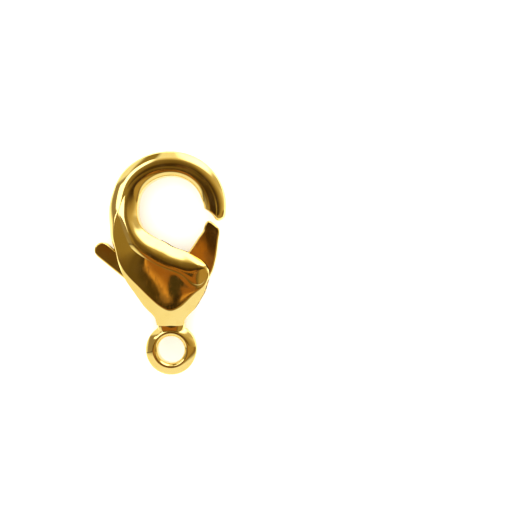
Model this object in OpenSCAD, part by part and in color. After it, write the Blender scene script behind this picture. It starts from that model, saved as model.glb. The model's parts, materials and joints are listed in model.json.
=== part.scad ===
// Lobster clasp: a cast hook that runs into two hollow plates, a lever between the plates
// that closes the hook, and an end ring. It lies on its back plate, with +X towards the
// gate, +Y towards the hook and +Z up. Lengths are in millimetres, angles in degrees.

/* [Hook] */
// Inner radius of the hook's opening
hook_r = 2.2; // [1.9:0.05:2.8]
// Width of the hook's bar, seen from the front
bar_w = 1.5; // [1.2:0.05:1.9]
// Thickness of the hook's bar
hook_t = 1.24; // [1.1:0.02:1.6]
// Depth of the groove round the rim
groove = 0.12; // [0.05:0.01:0.2]
// How far the hook's end is rounded
tip_round = 0.18; // [0.1:0.01:0.22]

/* [Body] */
// How far the plates reach from the bar down to the neck
plate_h = 3.8; // [3.5:0.05:5]
// Thickness over the raised lobes
body_t = 2.24; // [2.1:0.02:2.8]
// Wall of each plate
wall_t = 0.26; // [0.2:0.01:0.3]
// Solid rib between the hook's opening and the slot
rib_w = 0.6; // [0.4:0.05:0.8]
// Width of the neck between the plates and the ring
neck_w = 1.85; // [1.5:0.05:2.2]
// Step down from the plates to the neck
neck_step = 0.08; // [0.04:0.01:0.12]

/* [Ring] */
// Outer radius of the end ring
ring_r = 1.7; // [1.6:0.05:2.2]
// Radius of the hole that a chain's link passes through
bore_r = 0.9; // [0.7:0.05:1]
// Thickness of the end ring
ring_t = 1.1; // [1:0.02:1.4]
// Rounding of the hole's two edges
bore_round = 0.26; // [0.15:0.01:0.3]

/* [Lever] */
// Thickness of the lever
lever_t = 0.86; // [0.7:0.02:0.96]
// Radius of the boss round the pin
boss_r = 1.15; // [0.9:0.05:1.25]
// Width of the gate near its end
gate_w = 1.15; // [0.9:0.05:1.3]
// Gap between the gate's end and the hook's end
gate_gap = 0.35; // [0.2:0.05:0.6]
// Length of the thumb tab from the pin
tab_l = 6.1; // [5.9:0.05:7]
// Width of the thumb tab
tab_w = 1.1; // [0.9:0.05:1.2]
// How far the tab's centre line passes below the pin
tab_drop = 0.48; // [0.4:0.01:0.5]
// Direction of the thumb tab
tab_angle = 141; // [138:1:144]
// Clearance between the lever's faces and the plates
side_gap = 0.06; // [0.04:0.01:0.1]
// Clearance between the boss and the end of the slot
boss_gap = 0.2; // [0.1:0.02:0.3]
// How far the lever turns before its tab meets the end of the slot
open_angle = 25; // [20:1:28]
// Clearance left between the tab and the end of the slot
stop_gap = 0.07; // [0.04:0.01:0.1]

/* [Pin and spring] */
// Radius of the pivot pin
pin_r = 0.34; // [0.25:0.01:0.4]
// Radial clearance of the lever on the pin
pin_gap = 0.03; // [0.02:0.01:0.05]
// Radial clearance of the pin in the plates
seat_gap = 0.01; // [0.01:0.005:0.02]
// Thickness of the spring's wire
wire_d = 0.13; // [0.1:0.01:0.14]
// Mean radius of the spring's turn
coil_r = 0.56; // [0.5:0.01:0.65]
// Gap between the spring and what it bears on
spring_gap = 0.05; // [0.03:0.01:0.08]

/* [Hidden] */

// Columns of the table of sections. Each section is cut by a plane through the middle of
// the hook's opening, at an angle from +X. INNER is a share of hook_r, and the width is
// BAR times bar_w and PLATE times plate_h. RISE goes from 0, as thick as the hook, to 1, as
// thick as the body. CREST, CREASE and EDGE are places across the width: the top of the
// lobe, the valley outside it, and the top of the bead or of the sloping flange. Z columns
// are shares of half the local thickness. SLOPE is 2 for a round bead and 1 for a flat
// flange.
ANGLE = 0; INNER = 1; BAR = 2; PLATE = 3; RISE = 4; CREST = 5; CREASE = 6; EDGE = 7;
Z_IN = 8; Z_CREST = 9; Z_CREASE = 10; Z_EDGE = 11; Z_RIM = 12; SLOPE = 13;
SECTIONS = [
    [ -1.5, 1.01, 0.97, 0.00, 0.00, 0.340, 0.590, 0.640, 0.50, 0.98, 0.965, 0.985, 0.36, 2.0],
    [ 20.0, 0.95, 1.00, 0.03, 0.00, 0.310, 0.510, 0.570, 0.50, 0.98, 0.965, 0.990, 0.36, 2.0],
    [ 50.0, 0.94, 1.00, 0.04, 0.00, 0.290, 0.410, 0.500, 0.50, 0.99, 0.975, 1.000, 0.36, 2.0],
    [ 90.0, 0.93, 1.00, 0.05, 0.00, 0.280, 0.370, 0.480, 0.50, 1.00, 0.990, 1.000, 0.36, 2.0],
    [120.0, 0.95, 1.00, 0.07, 0.00, 0.310, 0.400, 0.480, 0.50, 1.00, 0.995, 1.000, 0.36, 2.0],
    [150.0, 0.99, 1.00, 0.09, 0.05, 0.370, 0.460, 0.500, 0.50, 1.00, 0.995, 0.995, 0.38, 1.9],
    [165.0, 1.00, 1.00, 0.09, 0.12, 0.400, 0.480, 0.520, 0.52, 1.00, 0.990, 0.980, 0.40, 1.7],
    [180.0, 1.01, 1.00, 0.11, 0.27, 0.420, 0.520, 0.590, 0.54, 1.00, 0.970, 0.945, 0.44, 1.5],
    [195.0, 1.04, 1.00, 0.12, 0.50, 0.430, 0.590, 0.790, 0.55, 1.00, 0.935, 0.915, 0.51, 1.4],
    [207.0, 1.06, 1.00, 0.17, 0.68, 0.400, 0.540, 0.880, 0.56, 1.00, 0.915, 0.900, 0.64, 1.3],
    [218.0, 1.07, 1.00, 0.22, 0.82, 0.410, 0.545, 0.945, 0.56, 1.00, 0.910, 0.890, 0.75, 1.2],
    [226.0, 1.06, 1.00, 0.32, 0.90, 0.400, 0.530, 0.955, 0.56, 1.00, 0.915, 0.885, 0.76, 1.2],
    [233.0, 1.05, 1.00, 0.42, 0.94, 0.375, 0.480, 0.935, 0.57, 1.00, 0.930, 0.880, 0.74, 1.1],
    [239.0, 1.05, 1.00, 0.51, 0.97, 0.345, 0.435, 0.900, 0.58, 1.00, 0.950, 0.880, 0.73, 1.0],
    [248.0, 1.06, 1.00, 0.64, 1.00, 0.320, 0.386, 0.854, 0.60, 1.00, 0.965, 0.885, 0.68, 1.0],
    [256.0, 1.08, 1.00, 0.81, 1.00, 0.295, 0.347, 0.816, 0.61, 1.00, 0.970, 0.890, 0.62, 1.0],
    [261.0, 1.10, 1.00, 0.91, 1.00, 0.284, 0.333, 0.813, 0.62, 1.00, 0.970, 0.890, 0.59, 1.0],
    [262.5, 1.11, 1.00, 0.97, 1.00, 0.275, 0.320, 0.794, 0.62, 1.00, 0.970, 0.890, 0.55, 1.0],
    [263.3, 1.12, 1.00, 1.06, 1.00, 0.256, 0.299, 0.752, 0.62, 1.00, 0.970, 0.890, 0.45, 1.0],
    [270.0, 1.20, 1.00, 1.01, 1.00, 0.260, 0.304, 0.809, 0.63, 1.00, 0.970, 0.890, 0.56, 1.0],
    [276.3, 1.27, 1.00, 0.97, 1.00, 0.270, 0.322, 0.746, 0.64, 1.00, 0.970, 0.890, 0.47, 1.0],
    [277.2, 1.28, 1.00, 0.87, 1.00, 0.295, 0.350, 0.783, 0.64, 1.00, 0.970, 0.890, 0.55, 1.0],
    [279.0, 1.30, 1.00, 0.80, 1.00, 0.315, 0.385, 0.784, 0.65, 1.00, 0.965, 0.890, 0.57, 1.0],
    [283.0, 1.35, 1.00, 0.68, 1.00, 0.370, 0.490, 0.766, 0.65, 1.00, 0.955, 0.885, 0.57, 1.0],
    [287.0, 1.41, 1.00, 0.53, 1.00, 0.430, 0.660, 0.800, 0.66, 1.00, 0.940, 0.885, 0.645, 1.0],
    [291.0, 1.49, 1.00, 0.38, 1.00, 0.460, 0.790, 0.860, 0.66, 1.00, 0.920, 0.880, 0.72, 1.1],
    [295.0, 1.63, 0.90, 0.21, 1.00, 0.480, 0.880, 0.930, 0.66, 1.00, 0.905, 0.885, 0.785, 1.3],
    [298.0, 1.77, 0.75, 0.11, 0.96, 0.490, 0.890, 0.940, 0.66, 1.00, 0.900, 0.885, 0.805, 1.5],
    [300.0, 1.88, 0.52, 0.07, 0.86, 0.500, 0.890, 0.950, 0.68, 1.00, 0.900, 0.885, 0.815, 1.8],
    [301.2, 2.00, 0.30, 0.03, 0.70, 0.500, 0.890, 0.950, 0.74, 1.00, 0.905, 0.885, 0.825, 2.0]
];

// Edges of the gate on the line from the pin to the hook's end: how far along it, as a
// share of its length, and the outer and inner edge, as shares of gate_w
ALONG = 0; OUTER_EDGE = 1; INNER_EDGE = 2;
GATE = [
    [-0.05, -0.95, 0.90],
    [ 0.20, -1.20, 0.80],
    [ 0.40, -1.34, 0.60],
    [ 0.50, -1.30, 0.54],
    [ 0.63, -1.12, 0.47],
    [ 0.75, -0.88, 0.46],
    [ 0.86, -0.62, 0.42],
    [ 0.94, -0.46, 0.55],
    [ 0.98, -0.32, 0.54]
];
// The gate's crown is its furthest point, this far across
gate_crown = 0.38;

// Direction of the end ring from the middle of the hook's opening
DOWN = 270;

// Most degrees between two sections on the hook and on the body, and steps in each curve
hook_step = 7;
body_step = 3;
curve_steps = 3;
ring_steps = 4;
// Angle where the body's finer sections start
body_from = 150;
// Sides of the ring, of the boss and of the small holes and rounds
ring_sides = 96;
boss_sides = 64;
hole_sides = 48;

// Both sides of the lobe are powers of the distance from its crest. The inner one is a round
// on the hook and spreads on the body, and the outer one is a little fuller on the body.
inner_power = 2;
outer_power = 2;
round_share = 0.5;
body_spread = 0.35;
body_fullness = 0.15;
// The groove starts at this share of the rim's height, this share of its depth in
mouth_z = 0.5;
mouth_depth = 0.25;

// The slot between the plates: where it starts at the rim above the tab, where it opens
// into the hook's opening for the gate, where it leaves the neck, and where it ends
slot_from = 208;
slot_gate = 251;
neck_to = 281;
slot_to = 304;
// Degrees over which the slot opens into the hook's opening, or out of the neck
slot_blend = 1.6;
// Degrees between two sections of the slot, steps across it, and how far it runs out
slot_step = 3.7;
slot_cuts = 7;
slot_over = 0.2;
// Thickness left over the pin's end in each plate
pin_skin = 0.1;
// Half of the slot is never more than this share of half the body
slot_share = 0.64;

// The hook's end is cut on the slant: degrees that the end falls back, and how the cut
// turns up again towards the rim
tip_slant = 16.4;
tip_lip = 0.62;
tip_lift = 9;
// The slant fades out over this many degrees of the hook
tip_fade = 30;
// The rounding at the hook's end takes this share off the section
tip_shrink = 0.3;
// The hook's furthest point: degrees past its first section, and how far across it lies
lip_back = 13.7;
lip_across = 0.74;
// How far the neck reaches into the ring and into the plates
neck_in = 0.4;

// Place of the pin below the bar, as a share of plate_h
pivot_share = 0.5;
// Where the spring bears on the rib, and how far along the gate its other leg reaches
rib_leg_angle = 240;
gate_leg_share = 0.36;

// Smooth interpolation of a table, with no overshoot between its rows
function slope_at(t, i, c) =
    let (n = len(t) - 1,
         back = i == 0 ? undef : (t[i][c] - t[i - 1][c]) / (t[i][0] - t[i - 1][0]),
         ahead = i == n ? undef : (t[i + 1][c] - t[i][c]) / (t[i + 1][0] - t[i][0]))
    i == 0 ? ahead : i == n ? back :
    back * ahead <= 0 ? 0 : 2 * back * ahead / (back + ahead);
function between(t, i, c, x) =
    let (h = t[i + 1][0] - t[i][0], s = (x - t[i][0]) / h)
    t[i][c] * (1 + 2 * s) * pow(1 - s, 2) + t[i + 1][c] * s * s * (3 - 2 * s)
    + h * (slope_at(t, i, c) * s * pow(1 - s, 2) - slope_at(t, i + 1, c) * s * s * (1 - s));
function interval(t, x) = max([for (i = [0 : len(t) - 2]) if (i == 0 || t[i][0] <= x) i]);
function at(t, x) =
    let (i = interval(t, x))
    [for (c = [0 : len(t[0]) - 1]) c == 0 ? x : between(t, i, c, x)];

// Sizes of the section at an angle
function clamped(a) = min(max(a, SECTIONS[0][0]), SECTIONS[len(SECTIONS) - 1][0]);
function inner_r(a) = hook_r * at(SECTIONS, clamped(a))[INNER];
function width(row) = bar_w * row[BAR] + plate_h * row[PLATE];
function outer_r(a) = inner_r(a) + width(at(SECTIONS, clamped(a)));
function half_t(row) = (hook_t + (body_t - hook_t) * row[RISE]) / 2;

// Height of the front face at a place u across a section: lobe, plateau, then bead or flange
function lobe_inside(row, u) =
    row[Z_IN] + (row[Z_CREST] - row[Z_IN])
    * pow(max(0, 1 - pow((row[CREST] - u) / row[CREST], inner_power)),
          round_share + body_spread * row[RISE]);
function lobe_outside(row, u) =
    row[Z_CREASE] + (row[Z_CREST] - row[Z_CREASE])
    * pow(max(0, 1 - pow((u - row[CREST]) / (row[CREASE] - row[CREST]), outer_power)),
          1 / (1 + body_fullness * row[RISE]));
function plateau(row, u) =
    row[Z_EDGE] + (row[Z_CREASE] - row[Z_EDGE])
    * pow(max(0, row[EDGE] - u) / (row[EDGE] - row[CREASE]), 1 + row[RISE]);
function flange(row, u) =
    row[Z_RIM] + (row[Z_EDGE] - row[Z_RIM])
    * pow(max(0, 1 - pow((u - row[EDGE]) / (1 - row[EDGE]), row[SLOPE])), 1 / row[SLOPE]);
function face_z(row, u) =
    half_t(row) * (u < row[CREST] ? lobe_inside(row, u) :
                   u < row[CREASE] ? lobe_outside(row, u) :
                   u < row[EDGE] ? plateau(row, u) : flange(row, u));

// Places across the section, closer together where the face turns quickly
function places(row) = concat(
    [for (i = [0 : curve_steps - 1]) row[CREST] * (1 - cos(90 * i / curve_steps))],
    [for (i = [0 : curve_steps - 1])
        row[CREST] + (row[CREASE] - row[CREST]) * sin(90 * i / curve_steps)],
    [for (i = [0 : curve_steps - 1]) row[CREASE] + (row[EDGE] - row[CREASE]) * i / curve_steps],
    [for (i = [0 : curve_steps]) row[EDGE] + (1 - row[EDGE]) * sin(90 * i / curve_steps)]);

// One closed section as [place across, radius, height]: up the inner wall, over the front
// face, down into the groove and back over the back face
function section(row) =
    let (r0 = hook_r * row[INNER], w = width(row),
         front = [for (u = places(row)) [u, r0 + w * u, face_z(row, u)]],
         rim_z = half_t(row) * row[Z_RIM],
         mouth = [[1, r0 + w - groove * mouth_depth, rim_z * mouth_z]],
         back = [for (p = concat(front, mouth)) [p[0], p[1], -p[2]]])
    concat(front, mouth, [[1, r0 + w - groove, 0]], reverse(back));
function reverse(v) = [for (i = [len(v) - 1 : -1 : 0]) v[i]];

// How many degrees a place across the section falls back near the hook's end
function slant(a, u) =
    let (from = SECTIONS[0][0], fade = max(0, 1 - (a - from) / tip_fade))
    fade * fade * (tip_lift * pow(max(0, (u - tip_lip) / (1 - tip_lip)), 2) - tip_slant * u);
function ring_of(a, shrink, back) =
    let (row = at(SECTIONS, a), pts = section(row), mid = hook_r * row[INNER] + width(row) / 2)
    [for (p = pts)
        let (r = mid + (p[1] - mid) * shrink, t = a + slant(a, p[0]) - back)
        [r * cos(t), r * sin(t), p[2] * shrink]];

// Angles of the sections, at every row of the table and evenly between
function evenly(from, to, most) =
    let (n = ceil((to - from) / most)) [for (k = [0 : n - 1]) from + (to - from) * k / n];
body_angles = concat(
    [for (i = [0 : len(SECTIONS) - 2])
        let (from = SECTIONS[i][ANGLE])
        for (a = evenly(from, SECTIONS[i + 1][ANGLE], from < body_from ? hook_step : body_step))
            a],
    [SECTIONS[len(SECTIONS) - 1][ANGLE]]);

// Skin over a row of closed loops with as many points each, with a fan over either end
function mean(v) = [for (c = [0 : 2]) sum([for (p = v) p[c]]) / len(v)];
function sum(v, i = 0) = i == len(v) ? 0 : v[i] + sum(v, i + 1);
function skin_points(loops) =
    concat([for (l = loops) for (p = l) p], [mean(loops[0]), mean(loops[len(loops) - 1])]);
function skin_faces(m, n) = concat(
    [for (j = [0 : m - 2]) for (i = [0 : n - 1])
        let (a = j * n + i, b = j * n + (i + 1) % n)
        for (f = [[b, a, b + n], [b + n, a, a + n]]) f],
    [for (i = [0 : n - 1]) [m * n, i, (i + 1) % n]],
    [for (i = [0 : n - 1]) [m * n + 1, (m - 1) * n + (i + 1) % n, (m - 1) * n + i]]);
module skin(loops) {
    polyhedron(skin_points(loops), skin_faces(len(loops), len(loops[0])), convexity = 6);
}

// Loops of the hook and body. The first ones round off the hook's end.
tip_row = SECTIONS[0];
tip_mid = hook_r * tip_row[INNER] + width(tip_row) / 2;
tip_degrees = tip_round / tip_mid * 180 / PI;
body_loops = concat(
    [for (i = [curve_steps : -1 : 1])
        ring_of(tip_row[ANGLE], 1 - tip_shrink * (1 - cos(90 * i / curve_steps)),
                tip_degrees * sin(90 * i / curve_steps))],
    [for (a = body_angles) ring_of(a, 1, 0)]);

// Pin, hook's end and ring, as seen from the middle of the hook's opening
neck_row = at(SECTIONS, DOWN);
bar_bottom = hook_r * neck_row[INNER] + bar_w;
pivot = [0, -(bar_bottom + pivot_share * plate_h)];
neck_y = -outer_r(DOWN);
ring_c = [0, neck_y - ring_r + neck_step];
lip_angle = tip_row[ANGLE] - lip_back;
lip_r = inner_r(tip_row[ANGLE]) + lip_across * width(tip_row);
lip = lip_r * [cos(lip_angle), sin(lip_angle)];
gate_l = norm(lip - pivot) - gate_gap;
gate_angle = atan2(lip[1] - pivot[1], lip[0] - pivot[0]);

// Tip of the thumb tab, and the middle of the whole outline, which is the origin
tab_dir = [cos(tab_angle), sin(tab_angle)];
tab_side = [-sin(tab_angle), cos(tab_angle)];
tab_end = pivot + (tab_l - tab_w / 2) * tab_dir + tab_drop * tab_side;
outline_x = [for (l = body_loops) for (p = l) p[0]];
outline_y = [for (l = body_loops) for (p = l) p[1]];
origin_x = (min(concat(outline_x, [tab_end[0] - tab_w / 2])) + max(outline_x)) / 2;
origin_y = (max(outline_y) + ring_c[1] - ring_r) / 2;

// Slot between the plates. Its roof follows the plate's outside, a wall away from it.
slot_floor = lever_t / 2 + side_gap;
slot_top = slot_share * body_t / 2;
function ease(x) = min(1, max(0, x));
function boss_arc(a) =
    let (d = -pivot[1], r = boss_r + boss_gap, off = a - DOWN)
    d * cos(off) + sqrt(max(0, r * r - pow(d * sin(off), 2)));
function slot_in(a) =
    inner_r(a) + rib_w - (rib_w + slot_over) * ease((a - slot_gate) / slot_blend);
function stop_line(a) =
    let (turned = tab_angle + open_angle, across = [-sin(turned), cos(turned)])
    (tab_drop + tab_w / 2 + stop_gap + pivot * across) / ([cos(a), sin(a)] * across);
function slot_out(a) =
    let (open = outer_r(a) + slot_over, closed = min(open, boss_arc(a)))
    a < DOWN ? min(open, max(boss_arc(a), stop_line(a)))
             : open + (closed - open) * ease((neck_to - a) / slot_blend);
function roof_z(a, r) =
    let (row = at(SECTIONS, clamped(a)), r0 = hook_r * row[INNER],
         u = ease((r - r0) / width(row)))
    min(slot_top, max(slot_floor, face_z(row, u) - wall_t));
slot_stops = [slot_from, slot_gate, slot_gate + slot_blend, neck_to - slot_blend, neck_to, slot_to];
slot_angles = concat(
    [for (i = [0 : len(slot_stops) - 2]) for (a = evenly(slot_stops[i], slot_stops[i + 1], slot_step)) a],
    [slot_to]);
slot_loops = [for (a = slot_angles)
    let (r0 = slot_in(a), r1 = slot_out(a),
         top = [for (k = [0 : slot_cuts])
             let (r = r0 + (r1 - r0) * k / slot_cuts) [r * cos(a), r * sin(a), roof_z(a, r)]])
    concat(top, reverse([for (p = top) [p[0], p[1], -p[2]]]))];

// Half section of the end ring: the rounded outside, down to the groove, and the rounded
// edge of the hole
crest_r = bore_r + bore_round;
ring_rim = ring_t / 4;
ring_half = concat(
    [[ring_r - groove * mouth_depth, ring_rim * mouth_z]],
    [for (i = [0 : ring_steps])
        let (a = 90 * i / ring_steps)
        [crest_r + (ring_r - crest_r) * cos(a), ring_rim + (ring_t / 2 - ring_rim) * sin(a)]],
    [for (i = [1 : ring_steps])
        let (a = 90 * i / ring_steps)
        [bore_r + bore_round * (1 - sin(a)), ring_t / 2 - bore_round * (1 - cos(a))]]);
ring_section = concat([[ring_r - groove, 0]], ring_half,
                      reverse([for (p = ring_half) [p[0], -p[1]]]));

neck_t = 2 * half_t(neck_row) * neck_row[Z_RIM] - 2 * neck_step;

// Everything below is drawn round the middle of the hook's opening, and moved at the end
module placed() {
    translate([-origin_x, -origin_y, body_t / 2]) children();
}
pin_roof = roof_z(DOWN, -pivot[1]);
pin_top = pin_roof + wall_t - pin_skin;

module clasp_body() {
    color([0.93, 0.74, 0.32])
    placed() difference() {
        union() {
            skin(body_loops);
            translate(ring_c) rotate_extrude($fn = ring_sides) polygon(ring_section);
            translate([-neck_w / 2, neck_y - neck_in, -neck_t / 2])
                cube([neck_w, 2 * neck_in, neck_t]);
        }
        skin(slot_loops);
        translate([pivot[0], pivot[1], -pin_top])
            cylinder(r = pin_r + seat_gap, h = 2 * pin_top, $fn = hole_sides);
    }
}

module gate_outline() {
    outer = [for (g = GATE) [g[ALONG] * gate_l, g[OUTER_EDGE] * gate_w]];
    inner = [for (g = GATE) [g[ALONG] * gate_l, g[INNER_EDGE] * gate_w]];
    rotate(gate_angle) polygon(concat(outer, [[gate_l, gate_crown * gate_w]], reverse(inner)));
}

module tab_outline() {
    rotate(tab_angle) translate([0, tab_drop]) {
        translate([0, -tab_w / 2]) square([tab_l - tab_w / 2, tab_w]);
        translate([tab_l - tab_w / 2, 0]) circle(r = tab_w / 2, $fn = hole_sides);
    }
}

module lever() {
    color([0.90, 0.70, 0.28])
    placed() translate([pivot[0], pivot[1], -lever_t / 2]) difference() {
        linear_extrude(lever_t) union() {
            circle(r = boss_r, $fn = boss_sides);
            gate_outline();
            tab_outline();
        }
        translate([0, 0, -lever_t / 2])
            cylinder(r = pin_r + pin_gap, h = 2 * lever_t, $fn = hole_sides);
    }
}

module pivot_pin() {
    color([0.80, 0.62, 0.26])
    placed() translate([pivot[0], pivot[1], seat_gap - pin_top])
        cylinder(r = pin_r, h = 2 * (pin_top - seat_gap), $fn = hole_sides);
}

// The spring lies between the lever and the front plate. One leg bears on the rib, and the
// other reaches beside the gate's inner edge, where its end is bent down.
spring_z = (lever_t / 2 + pin_roof) / 2;
rib_leg_r = inner_r(rib_leg_angle) + rib_w + spring_gap + wire_d / 2;
rib_leg = rib_leg_r * [cos(rib_leg_angle), sin(rib_leg_angle)] - pivot;
gate_row = at(GATE, gate_leg_share);
gate_leg_in = gate_row[INNER_EDGE] * gate_w + spring_gap + wire_d / 2;
gate_leg = [gate_leg_share * gate_l * cos(gate_angle) - gate_leg_in * sin(gate_angle),
            gate_leg_share * gate_l * sin(gate_angle) + gate_leg_in * cos(gate_angle)];

module leg(from, to) {
    d = to - from;
    translate(from) rotate(atan2(d[1], d[0])) translate([0, -wire_d / 2])
        square([norm(d) + wire_d / 2, wire_d]);
}

module return_spring() {
    color([0.75, 0.75, 0.78])
    placed() translate([pivot[0], pivot[1], spring_z]) {
        translate([0, 0, -wire_d / 2]) linear_extrude(wire_d) union() {
            difference() {
                circle(r = coil_r + wire_d / 2, $fn = hole_sides);
                circle(r = coil_r - wire_d / 2, $fn = hole_sides);
            }
            leg([-coil_r, 0], rib_leg);
            leg([coil_r, 0], gate_leg);
        }
        translate([gate_leg[0], gate_leg[1], -spring_z])
            rotate(gate_angle) translate([-wire_d / 2, -wire_d / 2, 0])
            cube([wire_d, wire_d, spring_z]);
    }
}

clasp_body();
lever();
pivot_pin();
return_spring();
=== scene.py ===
# %% [markdown]
# # A lobster clasp in polished gold plate
# The real clasp is about 15 mm long. A hook runs into two hollow plates in one casting, a
# lever between the plates closes the hook, and a ring at the other end holds the chain.
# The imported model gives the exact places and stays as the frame: the pieces made here lie
# where its solids lie, and only look better.

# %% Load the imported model
import json
import math
import bmesh
import bpy
import numpy as np
from mathutils import Matrix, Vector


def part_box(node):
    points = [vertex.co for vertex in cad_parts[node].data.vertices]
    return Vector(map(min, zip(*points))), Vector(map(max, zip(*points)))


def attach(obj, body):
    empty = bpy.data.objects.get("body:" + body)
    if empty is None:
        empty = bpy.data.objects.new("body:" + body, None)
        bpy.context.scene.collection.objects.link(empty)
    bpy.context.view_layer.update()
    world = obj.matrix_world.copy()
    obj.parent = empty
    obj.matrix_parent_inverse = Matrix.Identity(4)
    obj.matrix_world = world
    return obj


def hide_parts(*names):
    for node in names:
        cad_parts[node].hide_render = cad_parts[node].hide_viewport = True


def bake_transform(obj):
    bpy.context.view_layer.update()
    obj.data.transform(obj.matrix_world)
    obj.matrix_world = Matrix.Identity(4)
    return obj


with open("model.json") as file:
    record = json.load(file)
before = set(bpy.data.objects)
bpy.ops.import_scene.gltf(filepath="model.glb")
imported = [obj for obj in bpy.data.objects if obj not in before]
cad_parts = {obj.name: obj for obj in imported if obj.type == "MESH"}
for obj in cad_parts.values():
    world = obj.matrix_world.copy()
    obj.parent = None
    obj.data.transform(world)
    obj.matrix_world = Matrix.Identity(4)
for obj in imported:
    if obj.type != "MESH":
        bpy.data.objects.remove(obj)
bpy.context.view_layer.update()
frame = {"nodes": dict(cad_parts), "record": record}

MM = 0.001

# %% [markdown]
# ## Where the clasp's parts are
# The record of the model names the pivot of the lever, the ring's bore and the seat at the
# top of the hook's opening. The middle of that opening is the middle of every section of
# the hook and the plates, so it is worked out from the seat. All lengths are millimetres
# here, and become metres only where a mesh is made.

# %% Places from the record
record = frame["record"]
mounts = {m["name"]: np.array(m["pos_m"]) / MM for m in record["mounts"]}
pivot = np.array(record["behaviour"]["joints"][0]["pos_m"]) / MM
ring_centre = mounts["end_ring"]
HOOK_R, SEAT_SHARE = 2.2, 0.93
opening = mounts["hook_seat"] - [0, HOOK_R * SEAT_SHARE, 0]
mid_z = opening[2]
lever_low, lever_high = (np.array(v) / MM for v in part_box("lever"))
pin_low, pin_high = (np.array(v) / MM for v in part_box("pivot_pin"))
print("opening", opening.round(3), "pivot", pivot.round(3), "ring", ring_centre.round(3))

# %% [markdown]
# ## Reading a table of sections
# The caster's master was carved by eye, and no circle or straight line describes it. A
# drawing would give its sections: the width and the heights of the face at a row of angles
# round the opening. Between two rows the values have to run smoothly and without
# overshoot, or the polished metal would show a dent, so each value follows a cubic whose
# slope at a row is the harmonic mean of the slopes on either side.

# %% Smooth values between the rows of a table
def slopes(x, y):
    """The slope at each row, for a curve that doesn't overshoot."""
    step = np.diff(y) / np.diff(x)
    back, ahead = step[:-1], step[1:]
    both = np.where(back * ahead > 0, back + ahead, 1)
    inner = np.where(back * ahead > 0, 2 * back * ahead / both, 0)
    return np.concatenate([step[:1], inner, step[-1:]])


def at(table, x):
    """The table's row at each x, as one array. Its first column is x itself."""
    table, x = np.asarray(table, float), np.atleast_1d(np.asarray(x, float))
    rows = table[:, 0]
    i = np.clip(np.searchsorted(rows, x, side="right") - 1, 0, len(rows) - 2)
    h = rows[i + 1] - rows[i]
    s = (x - rows[i]) / h
    out = np.empty((len(x), table.shape[1]))
    for c in range(table.shape[1]):
        y, m = table[:, c], slopes(rows, table[:, c])
        out[:, c] = (y[i] * (1 + 2 * s) * (1 - s) ** 2 + y[i + 1] * s * s * (3 - 2 * s)
                     + h * (m[i] * s * (1 - s) ** 2 - m[i + 1] * s * s * (1 - s)))
    out[:, 0] = x
    return out


# %% [markdown]
# ## The sections of the hook and the plates
# Seen from the middle of the opening, each section has the same parts. From the inner wall
# the face rises over a raised lobe, drops to a crease, crosses a shallow plateau to an edge
# and then falls over a bead or a flange to the rim, where a groove runs round the whole
# clasp. On the hook the lobe is a low bar, and the edge is the top of a round bead. On the
# plates the lobe swells into a claw that ends beside the gate.

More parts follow.
